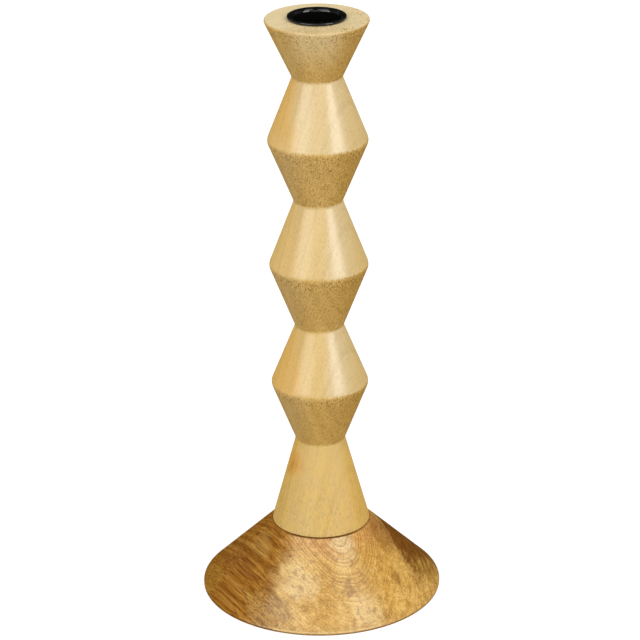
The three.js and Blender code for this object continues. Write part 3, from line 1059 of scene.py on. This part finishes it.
def base_specks(tree, at, heartwood, gloom, colour):
    """Blotches, flecks, fibres and streaks along the grain, then growth rings and pores."""
    light = without(tree, times(tree, gloom, PALE_LOSS))
    colour = blend(tree, remap(tree, at.grain["Blotch"], *BROWN_BLOTCHES), colour, BASE.brown)
    flake = times(tree, remap(tree, at.grain["Blotch"], *STRAW_BLOTCHES), light)
    colour = blend(tree, flake, colour, BASE.straw)
    pale = times(tree, remap(tree, at.grain["Flecks"], *STRAW_FLECKS), light)
    colour = blend(tree, pale, colour, BASE.straw)
    colour = blend(tree, remap(tree, at.grain["Flecks"], *BROWN_FLECKS), colour, BASE.brown)
    colour = blend(tree, remap(tree, at.grain["Fibre"], *BROWN_FIBRES), colour, BASE.brown)
    streak = grain_noise(tree, at.grain_place, STREAK_CELL, detail=4.0)
    golden = times(tree, remap(tree, streak, *OCHRE_STREAKS), heartwood)
    golden = times(tree, golden, remap(tree, at.across, *OCHRE_ACROSS))
    colour = blend(tree, golden, colour, BASE.ochre)
    dark = times(tree, remap(tree, streak, *UMBER_STREAKS), larger(tree, gloom, UMBER_STREAKS_LEAST))
    colour = blend(tree, dark, colour, BASE.umber)
    rings = times(tree, at.grain["Rings"], remap(tree, at.grain["Reach"], *BASE_RINGS_BY_REACH))
    colour = blend(tree, rings, colour, BASE.brown)
    return blend(tree, times(tree, at.grain["Pores"], PORE_STAIN), colour, BASE.brown)


def base_rim(tree, at, colour):
    """The rim's upper edge has a painted highlight at the front, and painted shadow darkens its foot."""
    # Painted highlight in cream along the rim's upper edge, at the front.
    rim_highlight = times(tree, remap(tree, apart(tree, at.z, RIM_Z), *RIM_HIGHLIGHT_REACH), remap(tree, at.y, *RIM_HIGHLIGHT_FRONT_Y))
    colour = blend(tree, rim_highlight, colour, BASE.cream)
    # Painted shadow in umber round the rim's foot.
    return blend(tree, remap(tree, at.z, *RIM_SHADOW_Z), colour, BASE.umber)


def base_wood(group):
    """Brown wood of the base, under satin lacquer."""
    material, tree, shader = new_material("satin_base_wood")
    at = base_surface(tree, group)
    flank = base_flank(tree, at)
    heartwood = larger(tree, base_heartwood(tree, at), flank)
    colour = base_browns(tree, at, heartwood, flank, base_sapwood(tree, at))
    colour, gloom = base_patches(tree, at, heartwood, colour)
    colour = base_specks(tree, at, heartwood, gloom, colour)
    colour = base_rim(tree, at, colour)
    # Painted shadow on the base, just below its joint with the foot.
    colour = blend(tree, seam_shadow(tree, at.z, at.aside, BASE_SEAM_SHADOW_Z), colour, BASE.umber)
    tree.links.new(colour, shader.inputs["Base Color"])
    lacquered(tree, shader, at.grain, facing_up(tree), BASE_COAT, BASE_COAT_ROUGHNESS, BASE_COAT_FADE)
    return material


# Enamel, zinc and felt


def cup_enamel():
    """Gloss black enamel with faint clouds and ripples."""
    material, tree, shader = new_material("black_cup_enamel")
    place = millimetres(tree)
    cloud = noise(tree, place, ENAMEL_CLOUDS, detail=4.0)
    colour = blend(tree, cloud, ENAMEL_BLACK, ENAMEL_WARM_BLACK)
    tree.links.new(colour, shader.inputs["Base Color"])
    tree.links.new(remap(tree, cloud, *ENAMEL_ROUGHNESS), shader.inputs["Roughness"])
    shader.inputs["Specular IOR Level"].default_value = ENAMEL_GLOSS
    raised(tree, shader, noise(tree, place, ENAMEL_RIPPLES, detail=2.0), *ENAMEL_BUMP)
    return material


def zinc_plate():
    """Bright zinc with fine spangles."""
    material, tree, shader = new_material("zinc_plate")
    spangle = noise(tree, millimetres(tree), ZINC_SPANGLES, detail=4.0)
    colour = blend(tree, spangle, ZINC_DARK, ZINC_PALE)
    tree.links.new(colour, shader.inputs["Base Color"])
    tree.links.new(remap(tree, spangle, *ZINC_ROUGHNESS), shader.inputs["Roughness"])
    shader.inputs["Metallic"].default_value = 1.0
    return material


def wool_felt():
    """Dark grey pressed wool with fine hairs and dusty clouds."""
    material, tree, shader = new_material("wool_felt")
    place = millimetres(tree)
    hair = noise(tree, place, FELT_HAIRS, detail=6.0, roughness=0.75)
    colour = blend(tree, hair, FELT_DARK, FELT_GREY)
    dust = remap(tree, noise(tree, place, FELT_CLOUDS), *FELT_DUST)
    colour = blend(tree, dust, colour, FELT_DUSTY)
    tree.links.new(colour, shader.inputs["Base Color"])
    raised(tree, shader, hair, *FELT_BUMP)
    shader.inputs["Roughness"].default_value = FELT_ROUGHNESS
    shader.inputs["Sheen Weight"].default_value = FELT_SHEEN
    return material


# Studio


def photograph_camera():
    """The camera of the photograph, in front of the candle holder and above it."""
    camera = placed("camera", bpy.data.cameras.new("camera"))
    camera.data.lens = CAMERA_LENS
    camera.data.sensor_width = SENSOR_WIDTH
    tilt = Matrix.Rotation(math.radians(90 - CAMERA_DOWN), 4, "X")
    roll = Matrix.Rotation(math.radians(CAMERA_ROLL), 4, "Z")
    camera.matrix_world = Matrix.Translation(CAMERA_PLACE) @ tilt @ roll
    bpy.context.scene.camera = camera


def softbox(name, azimuth, elevation, width, height, radiance):
    """A rectangular lamp that faces the candle holder."""
    lamp = bpy.data.lights.new(name, "AREA")
    lamp.shape = "RECTANGLE"
    lamp.size = width
    lamp.size_y = height
    lamp.energy = radiance * math.pi * width * height
    stand = placed(name, lamp)
    round_by = math.radians(azimuth)
    up_by = math.radians(elevation)
    level = math.cos(up_by)
    away = Vector((math.sin(round_by) * level, -math.cos(round_by) * level, math.sin(up_by)))
    stand.location = Vector((0, 0, LAMP_AIM_Z)) + LAMP_DISTANCE * away
    stand.rotation_euler = away.to_track_quat("Z", "Y").to_euler()


def seen_directly(tree):
    """1 for rays from the camera, a mirror or glass, and 0 for light that only fills the scene."""
    path = add(tree, "ShaderNodeLightPath").outputs
    mirror = larger(tree, path["Is Glossy Ray"], path["Is Transmission Ray"])
    return larger(tree, path["Is Camera Ray"], mirror)


def white_table():
    """A table that is seen as white and keeps the shadow, but throws less light back at the wood."""
    reach = TABLE_REACH
    corners = [(-reach, -reach, 0), (reach, -reach, 0), (reach, reach, 0), (-reach, reach, 0)]
    mesh = bpy.data.meshes.new("table")
    mesh.from_pydata(corners, [], [(0, 1, 2, 3)])
    table = placed("table", mesh)

    material = bpy.data.materials.new("white_table")
    tree = empty_tree(material)
    plain = add(tree, "ShaderNodeBsdfDiffuse", {"Color": TABLE_GREY})
    lit = add(tree, "ShaderNodeBsdfDiffuse", {"Color": TABLE_SEEN_GREY})
    glow = add(tree, "ShaderNodeEmission", {"Strength": TABLE_GLOW})
    bright = add(tree, "ShaderNodeAddShader", {0: lit.outputs[0], 1: glow.outputs[0]})
    shares = {0: seen_directly(tree), 1: plain.outputs[0], 2: bright.outputs[0]}
    both = add(tree, "ShaderNodeMixShader", shares)
    add(tree, "ShaderNodeOutputMaterial", {"Surface": both.outputs[0]})
    mesh.materials.append(material)


def studio_world():
    """White all round for the camera, a white horizon under a dark ceiling for what a mirror or glass shows,
    and a plain even light for the rest."""
    world = bpy.data.worlds.new("studio")
    bpy.context.scene.world = world
    tree = empty_tree(world)
    direction = add(tree, "ShaderNodeTexCoord").outputs["Generated"]
    horizon = remap(tree, split(tree, direction)[2], *HORIZON)
    camera = add(tree, "ShaderNodeLightPath").outputs["Is Camera Ray"]
    shown = larger(tree, camera, horizon)
    strength = blend_value(tree, seen_directly(tree), FILL_LIGHT, shown)
    light = add(tree, "ShaderNodeBackground", {"Color": WHITE, "Strength": strength})
    add(tree, "ShaderNodeOutputWorld", {"Surface": light.outputs[0]})


# Candle holder


def dress(piece, material, body, node):
    """A piece that stands for a CAD node, in its material, and moves with its body."""
    piece.data.materials.clear()
    piece.data.materials.append(material)
    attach(piece, body)
    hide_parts(node)


bpy.context.scene.view_settings.view_transform = "Standard"
photograph_camera()
studio_world()
for name, settings in SOFTBOXES.items():
    softbox(name, *settings)
white_table()

figure_group = wood_figure_group()
dress(spindle(), stem_wood(figure_group), "holder", "stem")
dress(foot_cone(), base_wood(figure_group), "holder", "base")
dress(rolled_cup(), cup_enamel(), "cup", "candle_cup")
felt = felt_disc()
dress(felt, wool_felt(), "holder", "felt_pad")
zinc = zinc_plate()
for node in ("hanger_bolt", "washer", "hex_nut"):
    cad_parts[node].data.materials.clear()
    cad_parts[node].data.materials.append(zinc)
